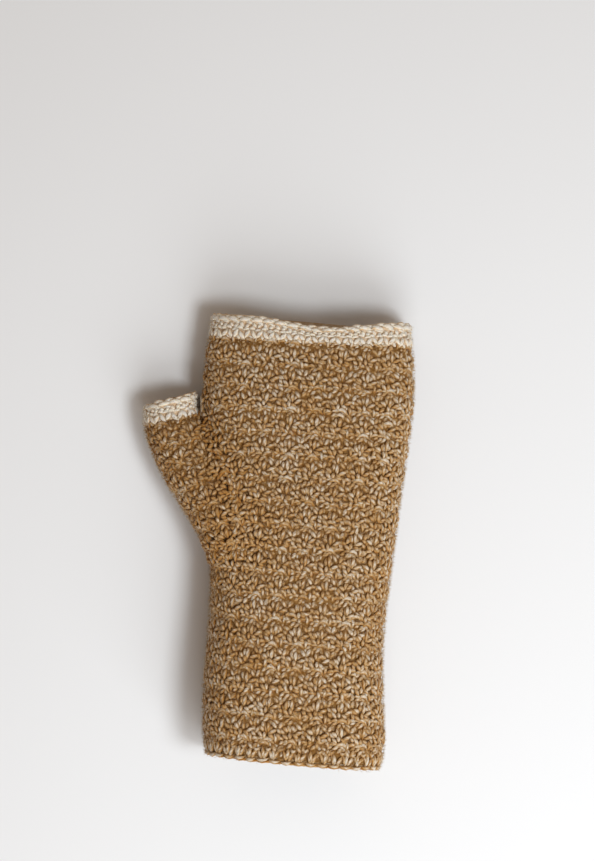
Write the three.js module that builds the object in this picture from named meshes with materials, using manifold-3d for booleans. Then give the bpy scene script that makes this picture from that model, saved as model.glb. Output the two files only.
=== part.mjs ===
// Crochet hand warmer: a fingerless tube for the hand and wrist with a thumb gusset, worked in rounds in
// thick heather-brown yarn, and edged in cream at the fingers and the thumb. It lies palm side down, as it
// keeps its form on a table: +Y runs from wrist to fingers, +Z up through the back of the hand, and the
// thumb is on the -X side. Millimetres. The origin is the middle of the footprint, on the table.
import * as THREE from "three";
import { mergeVertices } from "three/addons/utils/BufferGeometryUtils.js";
import Module from "manifold-3d";

// The fabric
const WALL = 3.0; // thickness of the crocheted fabric
const ROUND_PAIR = 8.9; // height of two rounds, the repeat of the stitch pattern
const GROOVE = 0.5; // depth of the groove between two pairs of rounds
const GAP = 0.3; // clearance between two pieces that meet
const EDGING_WALL = 2.6; // thickness of the cream rounds
const CHAIN = 2.2; // width of the foundation chain at the wrist

// Where the pieces end: the hand tube by its y, the gusset by the distance along its middle line
const WRIST_END = -79.6;
const FINGER_END = 76.9;
const THUMB_END = 85.0;
const FINGER_EDGING = 8.6;
const THUMB_EDGING = 6.6;

// The outline of every section is a boxy oval that the table flattens underneath.
const SQUARENESS = 2.5; // exponent of the oval: 2 is an ellipse
const SINK = 1.6; // how far the oval would reach below the table
const HAND_SIDES = 40;
const THUMB_SIDES = 28;

// The middle of the footprint, in the measures of the two tables below
const MIDDLE = { x: -7.3, y: 1.25 };

// The tube round the wrist and palm, from the wrist to the fingers: the middle of each section, its outer
// width and height, and how many degrees the +X side of its plane leans towards the fingers.
const HAND = [
  { x: 5.2, y: -84.5, width: 65.0, height: 42.6, turn: -2.2 },
  { x: 5.3, y: -76.0, width: 69.0, height: 43.0, turn: -2.0 },
  { x: 4.6, y: -62.0, width: 69.2, height: 42.4, turn: -1.6 },
  { x: 4.0, y: -45.0, width: 67.8, height: 41.0, turn: -1.4 },
  { x: 4.1, y: -28.0, width: 67.2, height: 39.0, turn: -1.2 },
  { x: 4.5, y: -10.0, width: 69.0, height: 37.0, turn: -0.9 },
  { x: 4.4, y: 8.0, width: 72.0, height: 35.0, turn: -0.5 },
  { x: 4.4, y: 25.0, width: 75.0, height: 33.0, turn: -0.2 },
  { x: 4.5, y: 41.0, width: 78.0, height: 31.2, turn: 0.0 },
  { x: 4.2, y: 57.0, width: 80.4, height: 29.4, turn: 0.2 },
  { x: 3.9, y: 70.0, width: 79.8, height: 27.8, turn: 0.2 },
  { x: 3.7, y: 88.0, width: 76.4, height: 26.4, turn: 0.0 },
];

// The gusset, from inside the hand tube to the thumb's way out
const THUMB = [
  { x: -3.0, y: -26.0, width: 20.0, height: 28.0, turn: 8.0 },
  { x: -9.0, y: -14.2, width: 24.6, height: 31.0, turn: 12.0 },
  { x: -15.8, y: -2.5, width: 28.8, height: 32.4, turn: 17.0 },
  { x: -21.4, y: 9.0, width: 31.6, height: 31.6, turn: 22.5 },
  { x: -26.6, y: 18.2, width: 33.2, height: 30.0, turn: 25.5 },
  { x: -33.0, y: 26.8, width: 32.6, height: 27.6, turn: 25.0 },
  { x: -40.4, y: 35.4, width: 28.6, height: 24.6, turn: 21.0 },
  { x: -47.6, y: 45.6, width: 22.4, height: 21.6, turn: 14.0 },
  { x: -48.4, y: 55.4, width: 21.4, height: 20.8, turn: 17.0 },
];

// How far each edging stands out from the oval, from its foot to its lip
const CREAM_ROUNDS = [
  { part: 0.0, out: -0.5 },
  { part: 0.25, out: 0.1 },
  { part: 0.5, out: -0.35 },
  { part: 0.75, out: 0.1 },
  { part: 1.0, out: -0.7 },
];
const CHAIN_ROUND = [
  { part: 0.0, out: -0.9 },
  { part: 0.5, out: -0.5 },
  { part: 1.0, out: -0.7 },
];

const wasm = await Module();
wasm.setup();

// Distances of a table's rows along its middle line, counted from the first row
function distances(table) {
  const found = [0];
  for (let i = 1; i < table.length; i += 1) {
    const step = Math.hypot(table[i].x - table[i - 1].x, table[i].y - table[i - 1].y);
    found.push(found[i - 1] + step);
  }
  return found;
}

// Slope of one column at a row, for a smooth curve through the rows
function slope(table, at, column, i) {
  const before = Math.max(i - 1, 0);
  const after = Math.min(i + 1, table.length - 1);
  return (table[after][column] - table[before][column]) / (at[after] - at[before]);
}

// The measures of a tube at a distance along it, on a smooth curve through the rows of its table
function measuresAt(table, distance) {
  const at = distances(table);
  let i = 0;
  while (i < table.length - 2 && distance > at[i + 1]) i += 1;
  const span = at[i + 1] - at[i];
  const t = (distance - at[i]) / span;
  const found = {};
  for (const column of Object.keys(table[0])) {
    const from = table[i][column];
    const to = table[i + 1][column];
    const leave = slope(table, at, column, i) * span;
    const arrive = slope(table, at, column, i + 1) * span;
    const bend = 2 * (from - to) + leave + arrive;
    found[column] = from + t * (leave + t * (3 * (to - from) - 2 * leave - arrive + t * bend));
  }
  return found;
}

// The distance along the hand tube at which its middle line reaches a given y
function handDistance(y) {
  let low = 0;
  let high = distances(HAND).at(-1);
  while (high - low > 1e-4) {
    const middle = (low + high) / 2;
    if (measuresAt(HAND, middle).y < y) low = middle;
    else high = middle;
  }
  return low;
}

// A point's power that keeps its sign, for the boxy oval
function signedPower(value, power) {
  return Math.sign(value) * Math.abs(value) ** power;
}

// One section's closed outline, inset from the outer surface, and flattened at its floor
function outline(measures, sides, inset, floor = 0) {
  const halfWidth = measures.width / 2 - inset;
  const low = inset - SINK;
  const high = measures.height - inset;
  const turn = THREE.MathUtils.degToRad(measures.turn);
  const points = [];
  for (let i = 0; i < sides; i += 1) {
    const angle = (2 * Math.PI * i) / sides;
    const across = halfWidth * signedPower(Math.cos(angle), 2 / SQUARENESS);
    const up = (high + low) / 2 + ((high - low) / 2) * signedPower(Math.sin(angle), 2 / SQUARENESS);
    points.push(
      new THREE.Vector3(
        measures.x - MIDDLE.x + across * Math.cos(turn),
        measures.y - MIDDLE.y + across * Math.sin(turn),
        Math.max(up, floor),
      ),
    );
  }
  return points;
}

// A closed geometry through rings of points, each end closed by a fan
function loft(rings) {
  const sides = rings[0].length;
  const positions = rings.flat().flatMap((p) => [p.x, p.y, p.z]);
  const faces = [];
  for (let r = 0; r < rings.length - 1; r += 1) {
    for (let i = 0; i < sides; i += 1) {
      const a = r * sides + i;
      const b = r * sides + ((i + 1) % sides);
      faces.push(a, a + sides, b, b, a + sides, b + sides);
    }
  }
  for (const end of [0, rings.length - 1]) {
    const middle = positions.length / 3;
    const centre = rings[end].reduce((sum, p) => sum.add(p), new THREE.Vector3()).divideScalar(sides);
    positions.push(centre.x, centre.y, centre.z);
    for (let i = 0; i < sides; i += 1) {
      const a = end * sides + i;
      const b = end * sides + ((i + 1) % sides);
      if (end === 0) faces.push(middle, a, b);
      else faces.push(middle, b, a);
    }
  }
  const geometry = new THREE.BufferGeometry();
  geometry.setAttribute("position", new THREE.Float32BufferAttribute(positions, 3));
  geometry.setIndex(faces);
  return geometry;
}

// The solid of a tube between two distances, through evenly spaced sections
function solidTube(table, sides, start, end, steps, inset, floor) {
  const rings = [];
  for (let i = 0; i <= steps; i += 1) {
    const distance = start + ((end - start) * i) / steps;
    rings.push(outline(measuresAt(table, distance), sides, inset, floor));
  }
  return toSolid(loft(rings));
}

// How deep the grooves are at a point: they fade out where the gusset grows from the hand tube
function grooveDepth(point) {
  const far = THUMB.map((row) => Math.hypot(row.x - MIDDLE.x - point.x, row.y - MIDDLE.y - point.y));
  return GROOVE * THREE.MathUtils.smoothstep(Math.min(...far), 18, 30);
}

// The hand tube from outside: every second section lies in the groove between two pairs of rounds
function groovedHand(start, end) {
  const pairs = Math.round((end - start) / ROUND_PAIR);
  const rings = [];
  for (let i = 0; i <= 2 * pairs; i += 1) {
    const measures = measuresAt(HAND, start + ((end - start) * i) / (2 * pairs));
    const ring = outline(measures, HAND_SIDES, 0);
    const middle = new THREE.Vector3(measures.x - MIDDLE.x, measures.y - MIDDLE.y, measures.height / 2);
    if (i % 2 === 0) {
      for (const point of ring.filter((p) => p.z > 0)) {
        point.add(middle.clone().sub(point).setLength(grooveDepth(point)));
      }
    }
    rings.push(ring);
  }
  return toSolid(loft(rings));
}

// A closed geometry as a solid that can be joined and cut
function toSolid(geometry) {
  const merged = mergeVertices(geometry, 1e-4);
  return new wasm.Manifold(
    new wasm.Mesh({
      numProp: 3,
      vertProperties: merged.attributes.position.array,
      triVerts: new Uint32Array(merged.index.array),
    }),
  );
}

// A solid as a named mesh of the assembly
function toMesh(name, solid, material) {
  const { vertProperties, triVerts } = solid.getMesh();
  const geometry = new THREE.BufferGeometry();
  geometry.setAttribute("position", new THREE.BufferAttribute(new Float32Array(vertProperties), 3));
  geometry.setIndex(new THREE.BufferAttribute(new Uint32Array(triVerts), 1));
  geometry.computeVertexNormals();
  const mesh = new THREE.Mesh(geometry, material);
  mesh.name = name;
  return mesh;
}

// The sleeve: the hand tube joined with the gusset, and hollowed by the same two tubes one wall smaller
function sleeve() {
  const wrist = handDistance(WRIST_END);
  const fingers = handDistance(FINGER_END);
  const past = 4;
  const outside = groovedHand(wrist, fingers).add(
    solidTube(THUMB, THUMB_SIDES, 0, THUMB_END, 16, 0, 0),
  );
  const inside = solidTube(HAND, HAND_SIDES, wrist - past, fingers + past, 18, WALL, WALL).add(
    solidTube(THUMB, THUMB_SIDES, 0, THUMB_END + past, 10, WALL, WALL),
  );
  return outside.subtract(inside);
}

// An edging on the end of a tube: a ring whose rounds stand out a little
function edging(table, sides, start, length, rounds, wall) {
  const rings = rounds.map((round) =>
    outline(measuresAt(table, start + length * round.part), sides, -round.out),
  );
  const hole = solidTube(table, sides, start - 1, start + length + 1, 2, wall, wall);
  return toSolid(loft(rings)).subtract(hole);
}

const heatherBrown = new THREE.MeshStandardMaterial({ color: 0xa8855c, roughness: 0.95, metalness: 0 });
const cream = new THREE.MeshStandardMaterial({ color: 0xdccdb6, roughness: 0.95, metalness: 0 });

const wristStart = handDistance(WRIST_END) - GAP - CHAIN;
const fingerStart = handDistance(FINGER_END) + GAP;
const thumbStart = THUMB_END + GAP;

const handWarmer = new THREE.Group();
handWarmer.add(
  toMesh("sleeve", sleeve(), heatherBrown),
  toMesh(
    "wrist_chain",
    edging(HAND, HAND_SIDES, wristStart, CHAIN, CHAIN_ROUND, EDGING_WALL),
    heatherBrown,
  ),
  toMesh(
    "finger_edging",
    edging(HAND, HAND_SIDES, fingerStart, FINGER_EDGING, CREAM_ROUNDS, EDGING_WALL),
    cream,
  ),
  toMesh(
    "thumb_edging",
    edging(THUMB, THUMB_SIDES, thumbStart, THUMB_EDGING, CREAM_ROUNDS, EDGING_WALL),
    cream,
  ),
);

export default handWarmer;
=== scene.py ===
"""A crochet hand warmer: strands of yarn laid stitch by stitch over its frame, with cream edgings."""

import math
from collections import namedtuple

import bpy
import numpy as np
from bpy.props import FloatProperty, FloatVectorProperty, IntProperty, PointerProperty
from bpy.types import Operator, Panel, PropertyGroup
from mathutils import Matrix, Vector
from mathutils.bvhtree import BVHTree


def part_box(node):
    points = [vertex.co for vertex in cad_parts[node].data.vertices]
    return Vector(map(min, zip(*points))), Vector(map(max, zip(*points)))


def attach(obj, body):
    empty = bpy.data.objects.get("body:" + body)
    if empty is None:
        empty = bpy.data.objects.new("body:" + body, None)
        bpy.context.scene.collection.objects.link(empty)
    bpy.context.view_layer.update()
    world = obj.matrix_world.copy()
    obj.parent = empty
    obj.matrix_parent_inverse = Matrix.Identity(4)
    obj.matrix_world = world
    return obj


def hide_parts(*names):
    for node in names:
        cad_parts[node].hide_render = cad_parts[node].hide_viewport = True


bl_info = {
    "name": "Crochet hand warmer",
    "version": (1, 0, 0),
    "blender": (4, 5, 0),
    "location": "3D View > Sidebar > Hand Warmer",
    "description": "Crochets a hand warmer over its frame, and sets a pale table for its picture",
    "category": "Add Mesh",
}

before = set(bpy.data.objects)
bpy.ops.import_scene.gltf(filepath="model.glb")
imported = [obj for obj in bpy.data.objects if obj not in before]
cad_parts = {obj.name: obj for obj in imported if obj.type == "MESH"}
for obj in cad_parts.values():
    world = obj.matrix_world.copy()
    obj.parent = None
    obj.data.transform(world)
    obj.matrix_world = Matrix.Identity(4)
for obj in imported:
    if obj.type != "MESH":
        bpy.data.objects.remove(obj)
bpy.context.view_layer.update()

MM = 0.001

# The form, in millimetres: the same two tubes as the frame's
Section = namedtuple("Section", "x y width height turn")

HAND = [
    Section(5.2, -84.5, 65.0, 42.6, -2.2),
    Section(5.3, -76.0, 69.0, 43.0, -2.0),
    Section(4.6, -62.0, 69.2, 42.4, -1.6),
    Section(4.0, -45.0, 67.8, 41.0, -1.4),
    Section(4.1, -28.0, 67.2, 39.0, -1.2),
    Section(4.5, -10.0, 69.0, 37.0, -0.9),
    Section(4.4, 8.0, 72.0, 35.0, -0.5),
    Section(4.4, 25.0, 75.0, 33.0, -0.2),
    Section(4.5, 41.0, 78.0, 31.2, 0.0),
    Section(4.2, 57.0, 80.4, 29.4, 0.2),
    Section(3.9, 70.0, 79.8, 27.8, 0.2),
    Section(3.7, 88.0, 76.4, 26.4, 0.0),
]
THUMB = [
    Section(-3.0, -26.0, 20.0, 28.0, 8.0),
    Section(-9.0, -14.2, 24.6, 31.0, 12.0),
    Section(-15.8, -2.5, 28.8, 32.4, 17.0),
    Section(-21.4, 9.0, 31.6, 31.6, 22.5),
    Section(-26.6, 18.2, 33.2, 30.0, 25.5),
    Section(-33.0, 26.8, 32.6, 27.6, 25.0),
    Section(-40.4, 35.4, 28.6, 24.6, 21.0),
    Section(-47.6, 45.6, 22.4, 21.6, 14.0),
    Section(-48.4, 55.4, 21.4, 20.8, 17.0),
]
MIDDLE = (-7.3, 1.25)  # the middle of the footprint, which comes to the origin
SQUARENESS = 2.5  # 2 makes the sections oval, and more makes them boxy
SINK = 1.6  # how far the sections would reach below the table, where they are cut flat
WALL = 3.0  # how thick the fabric is
FAR = 99.0  # a gap that is never near
TABLE_GAP = 0.05  # no yarn comes nearer to the table

CHAIN_LIP = 2.3  # along the hand tube's middle line
WRIST_END = 4.9
FINGER_END = 161.4
FINGER_LIP = 170.3
SAG = 2.8  # how far the finger edging's lip dips, in mm
SAG_MIDDLE = 16.0  # where the dip is deepest, to the right of the origin
SAG_REACH = 30.0  # and how far it reaches to either side of that
THUMB_START = 1.0  # along the gusset's middle line
THUMB_END = 85.0
THUMB_LIP = 91.9

# The stitch pattern: two stitches by two rounds make one repeat
COLUMNS = 20
REPEAT_WIDTH = 9.3
FIRST_ROUND_PAIR = 154.0  # along the hand tube, counted from there down to the wrist
ROUND_PAIR = 8.51
ROUND_PAIR_GROWTH = 0.0215  # each pair is twice this longer than the one before, in mm
LEAN = [(0.0, 3.7), (FIRST_ROUND_PAIR, 8.1)]  # how far the first column lies right of the middle
THUMB_ROUND_PAIR = 8.9
GUSSET_PAINTED_SHADE = 0.35  # painted shade: the whole gusset is made darker, as if it turned away from the light
JOIN_PAINTED_SHADE = 0.45  # painted shade: darker still in the crease where the gusset leaves the hand
JOIN_SHADE_WIDTH = 9.0  # the crease's painted shade covers fabric as near the other tube as this, in mm
JOIN_SPREAD = 7.0  # how near the other tube the fabric is drawn outwards, in mm
OUTER_LIMIT = -0.5  # strands that lie deeper than this in the other tube are left out, in mm
INNER_LIMIT = 0.4  # the same on the inside, counted from the other tube's inside
HAND_INNER_LIMIT = -0.25  # lower for the hand's, so that they line the palm side that both tubes share
PLACE_SPREAD = 0.24  # how far strands lie out of their place, in mm
EDGE_SPREAD = 0.17  # the same on the edgings and the chain
FAN_SPREAD = 0.28  # and in the first round
RIM_TURN_SPREAD = 0.12  # how far the strands of an end face turn out of line
SWAP_CHANCE = 0.10  # how often a strand of another kind lies in a place
ARC_SWAP_CHANCE = 0.42  # and in the place of an arc, which is often hidden
SWELL = 0.36  # how far a pair of rounds swells, in mm
DIP_AT = 0.28  # where in a pair of rounds the dip lies, as a part of the pair
STITCH_SWELL = 0.14  # how much one repeat stands out more than another, in mm
SLEEVE_BANDS = [  # the round pairs that each piece of the sleeve's outside covers
    ("fingers", -1.02, 3.5),
    ("palm", 3.5, 8.0),
    ("hand_root", 8.0, 12.5),
    ("wrist", 12.5, 16.50),
]

# One strand of yarn as it shows between two places where it dives under another: its path over the
# repeat (across, down), its width in mm, and how far it stands out in mm, which also makes it paler or deeper
# as painted light and shade.
Strand = namedtuple("Strand", "name path width lift")

STITCH_STRANDS = [
    Strand("arc", [(0.35, 0.12), (0.45, 0.05), (0.58, 0.05), (0.69, 0.14)], 1.65, 0.20),
    Strand("arc_end", [(0.80, -0.08), (0.83, 0.04), (0.84, 0.18)], 1.40, 0.05),
    Strand("rise_right", [(0.33, 0.36), (0.41, 0.28), (0.48, 0.22)], 1.45, 0.15),
    Strand("rise_middle", [(0.18, 0.27), (0.26, 0.20), (0.34, 0.15)], 1.40, 0.05),
    Strand("rise_left", [(-0.02, 0.21), (0.05, 0.16), (0.12, 0.11)], 1.35, -0.10),
    Strand("post", [(0.52, 0.73), (0.52, 0.56), (0.52, 0.41)], 1.60, 0.20),
    Strand("post_behind", [(0.34, 0.66), (0.33, 0.55), (0.33, 0.45)], 1.45, 0.00),
    Strand("fork_left", [(0.70, 0.34), (0.78, 0.44), (0.86, 0.53)], 1.55, 0.15),
    Strand("fork_right", [(0.97, 0.53), (1.02, 0.43), (1.06, 0.33)], 1.70, 0.15),
    Strand("cross", [(0.65, 0.79), (0.78, 0.73), (0.89, 0.68)], 1.45, 0.05),
    Strand("drop", [(0.12, 0.60), (0.20, 0.65), (0.27, 0.73)], 1.55, 0.15),
    Strand("fall", [(0.12, 0.81), (0.19, 0.89), (0.28, 0.99)], 1.45, 0.05),
    Strand("short_post", [(0.39, 0.79), (0.39, 0.88), (0.40, 0.97)], 1.50, 0.10),
    Strand("slant", [(0.54, 0.85), (0.62, 0.89), (0.69, 0.94)], 1.40, -0.05),
    Strand("small_slant", [(0.91, 0.80), (0.96, 0.86), (1.02, 0.92)], 1.40, 0.00),
    Strand("tuck_right", [(0.55, 0.26), (0.61, 0.32), (0.66, 0.40)], 1.45, -0.25),
    Strand("tuck_left", [(0.12, 0.30), (0.15, 0.39), (0.14, 0.48)], 1.45, -0.25),
    Strand("tuck_low", [(0.90, 0.63), (0.96, 0.68), (1.00, 0.75)], 1.45, -0.25),
    Strand("tuck_middle", [(0.66, 0.52), (0.66, 0.60), (0.62, 0.68)], 1.45, -0.30),
    Strand("under_arc", [(0.40, 0.17), (0.52, 0.16), (0.64, 0.24)], 1.55, -0.35),
    Strand("under_side", [(-0.02, 0.33), (-0.04, 0.43), (0.03, 0.54)], 1.55, -0.35),
    Strand("under_fork", [(0.72, 0.28), (0.86, 0.34), (0.98, 0.40)], 1.55, -0.35),
    Strand("under_post", [(0.43, 0.42), (0.43, 0.55), (0.44, 0.70)], 1.55, -0.35),
    Strand("under_drop", [(0.02, 0.66), (0.10, 0.74), (0.20, 0.80)], 1.55, -0.35),
    Strand("under_foot", [(0.50, 0.96), (0.64, 1.00), (0.80, 0.94)], 1.55, -0.35),
    Strand("valley_left", [(-0.14, 0.07), (-0.02, 0.03), (0.10, 0.05)], 1.45, -0.10),
    Strand("valley_right", [(0.14, 0.07), (0.25, 0.04), (0.36, 0.08)], 1.45, -0.10),
]

# Where strands at random join the gusset to the hand: along the hand tube, how near the gusset's tube
# is there, how many strands, and how far they stand out
Join = namedtuple("Join", "name start end near far count lift")
JOINS = [
    Join("crease", 50.0, 150.0, -2.2, 2.2, 260, -0.3),
    Join("notch", 131.5, 139.0, 1.5, 3.4, 38, 1.4),
]
JOIN_SIDE = (0.55, 1.0)  # the part of the way around the hand tube where they lie
JOIN_STRAND_SPREAD = 5.0

# The kinds of strands that show on the inside too
INNER_STRANDS = ("arc", "post", "fork_left", "fork_right", "drop", "cross", "short_post")
INNER_PAIRS = (-0.8, 16.7)  # the round pairs that they cover

# One stitch of the cream edging: across in stitches, down in mm from the lip
EDGING_STITCH = 4.55
EDGING_DEPTH = 8.9
EDGING_STRANDS = [
    Strand("lip_back", [(0.55, 0.10), (0.95, -0.05), (1.30, 0.20)], 1.60, -0.35),
    Strand("lip_front", [(0.06, 0.90), (0.45, 0.85), (0.88, 1.30)], 1.90, 0.20),
    Strand("lip_low", [(0.52, 1.75), (0.80, 1.95), (1.05, 2.40)], 1.35, -0.05),
    Strand("neck_left", [(0.16, 2.20), (0.26, 2.85), (0.38, 3.45)], 1.45, 0.10),
    Strand("neck_right", [(0.80, 2.75), (0.70, 3.25), (0.58, 3.75)], 1.40, 0.05),
    Strand("bar_left", [(-0.08, 4.20), (0.12, 3.95), (0.32, 4.30)], 1.50, 0.05),
    Strand("bar_right", [(0.46, 4.75), (0.64, 4.40), (0.84, 4.60)], 1.50, 0.05),
    Strand("leg_left", [(0.12, 5.20), (0.25, 6.40), (0.42, 7.70)], 1.75, 0.20),
    Strand("leg_right", [(0.92, 5.10), (0.80, 6.30), (0.64, 7.60)], 1.75, 0.20),
    Strand("foot", [(0.88, 7.00), (1.00, 7.70), (1.12, 8.40)], 1.35, -0.20),
]
CHAIN_STITCH = 4.65
CHAIN_STRANDS = [
    Strand("link_front", [(0.20, 1.25), (0.50, 1.02), (0.80, 1.35)], 1.45, 0.50),
    Strand("link_under", [(0.55, 1.75), (1.00, 1.85), (1.45, 1.70)], 1.10, -0.70),
]

# What shows on the end face of the wall at an opening: down in mm from the outside inwards
RIM_STRANDS = [
    Strand("rim_outer", [(0.12, 1.05), (0.50, 0.90), (0.88, 1.10)], 1.60, -0.20),
    Strand("rim_inner", [(0.52, 2.00), (0.90, 2.15), (1.28, 1.95)], 1.60, -0.20),
]
RIM_BACK = 0.8  # how far they lie back from the lip of an edging
CHAIN_RIM_BACK = 0.4
INNER_EDGING = ("lip_front", "neck_left", "bar_right", "leg_left", "leg_right")

# The first round above the chain, one small fan a stitch with a hole beside it: up in mm from the
# sleeve's end
FAN_STRANDS = [
    Strand("fan_left", [(0.36, -0.7), (0.27, 0.7), (0.12, 2.2)], 1.50, 0.25),
    Strand("fan_middle", [(0.49, -0.3), (0.48, 1.3), (0.46, 2.9)], 1.50, 0.40),
    Strand("fan_right", [(0.60, -0.6), (0.69, 0.8), (0.84, 2.2)], 1.50, 0.25),
    Strand("fan_over", [(0.84, 3.3), (1.00, 2.8), (1.16, 3.3)], 1.40, 0.20),
    Strand("fan_between", [(0.94, 0.9), (1.00, 1.6), (1.04, 2.4)], 1.35, -0.35),
]

YARN_SPREAD = 1.14  # how much wider and higher a strand lies than its width in the tables
YARN_RISE = 0.80
YARN_DEPTH = 0.85  # how far a strand's middle lies below the surface, in mm
YARN_REACH = 0.30  # how far it runs on past each end of its path, as a part
YARN_BOW = 0.50  # how far its ends lie below its middle, in mm
YARN_END = 0.16  # how thick it is at its ends, as a part
YARN_TAPER = 0.8  # less keeps it thick for longer
YARN_TIP = 0.06  # how far its tips stand out, as a part of its width
YARN_SIDES = 6
INNER_SIDES = 5
YARN_RINGS = 5

# A loose fibre, in mm: half its thickness, how far it leans over and stands up, and where it starts
FIBRE = 0.08
FIBRE_LEAN = (0.3, 1.3)
FIBRE_HEIGHT = (0.5, 1.3)
FIBRE_ROOT = -0.2
FIBRE_PLACE = (-0.35, 0.05)
FIBRE_KINDS = 12
FIBRE_LIFT = 0.65  # how much of the painted highlight it takes, up to the palest
FIBRE_UV = [0.25, 0.0]  # on the painted highlight along the top of the yarn
HAND_FIBRES = 27500
GUSSET_FIBRES = 5500
GUSSET_FIBRES_START = 5.0  # along the gusset's middle line
FINGER_EDGING_FIBRES = 1300
THUMB_EDGING_FIBRES = 400

# Each crocheted piece has random numbers of its own
SEEDS = {
    "sleeve_fingers": 0,
    "sleeve_palm": 1,
    "sleeve_hand_root": 2,
    "sleeve_wrist": 3,
    "sleeve_gusset": 11,
    "sleeve_inside": 12,
    "sleeve_first_round": 13,
    "finger_edging_yarn": 21,
    "thumb_edging_yarn": 22,
    "finger_edging_inside": 23,
    "thumb_edging_inside": 24,
    "finger_edging_rim": 25,
    "thumb_edging_rim": 26,
    "wrist_chain_yarn": 31,
    "wrist_rim_yarn": 32,
    "fuzz_brown": 41,
    "fuzz_cream": 42,
}

# The frame's own walls behind the stitches: how far each is drawn in and made longer, in mm
Wall = namedtuple("Wall", "depth longer")
WALLS = {
    "sleeve": Wall(1.15, 2.6),
    "finger_edging": Wall(0.9, 2.4),
    "thumb_edging": Wall(0.9, 2.4),
    "wrist_chain": Wall(1.3, 1.2),
}

# The yarns: the name of the colours, how much a strand's own tone and its fibres show, and how much of the
# two deepest colours is left in the fabric behind the stitches, which shows them as painted shade
Look = namedtuple("Look", "colour tone fibres behind")
LOOKS = {
    "brown_yarn": Look("brown", 0.40, 0.85, (0.62, 0.68)),
    "cream_yarn": Look("cream", 0.16, 0.45, (1.0, 1.0)),
}
PLIES = 4
TWIST = 0.13  # turns a mm
FIBRES_AROUND = 12.0
FIBRES_ALONG = 0.55
TONES_APART = 91.0  # strands of different tones have different fibres
PATCHES = 55.0  # patches of tone a metre
HIGHLIGHT_POWER = 1.6  # more makes the painted highlight along the top of a strand narrower
HIGHLIGHT_SHARE = 0.82
SHADE_SHARE = 0.28
PATCH_SHARE = 0.30
PLY_SHARE = 0.09
COLOUR_STOPS = (0.02, 0.32, 0.62, 0.92)

# The table, the lights and the camera, straight above the hand warmer, in metres
TABLE_SIZE = 6.0
TABLE_COLOUR = (0.79, 0.79, 0.785, 1)
ROOM_COLOUR = (1.0, 0.82, 0.68, 1)
LAMP_COLOUR = (0.89, 0.945, 1.0)
Lamp = namedtuple("Lamp", "name place width")
KEY = Lamp("key", (0.37, -0.16, 0.90), 0.27)
FILL = Lamp("fill", (0.30, -0.60, 0.55), 0.70)
CAMERA_PLACE = (0.0079, 0.04235, 1.62)
CAMERA_ROLL = 3.0
CAMERA_LENS = 176.0


# The form as arrays


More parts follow.
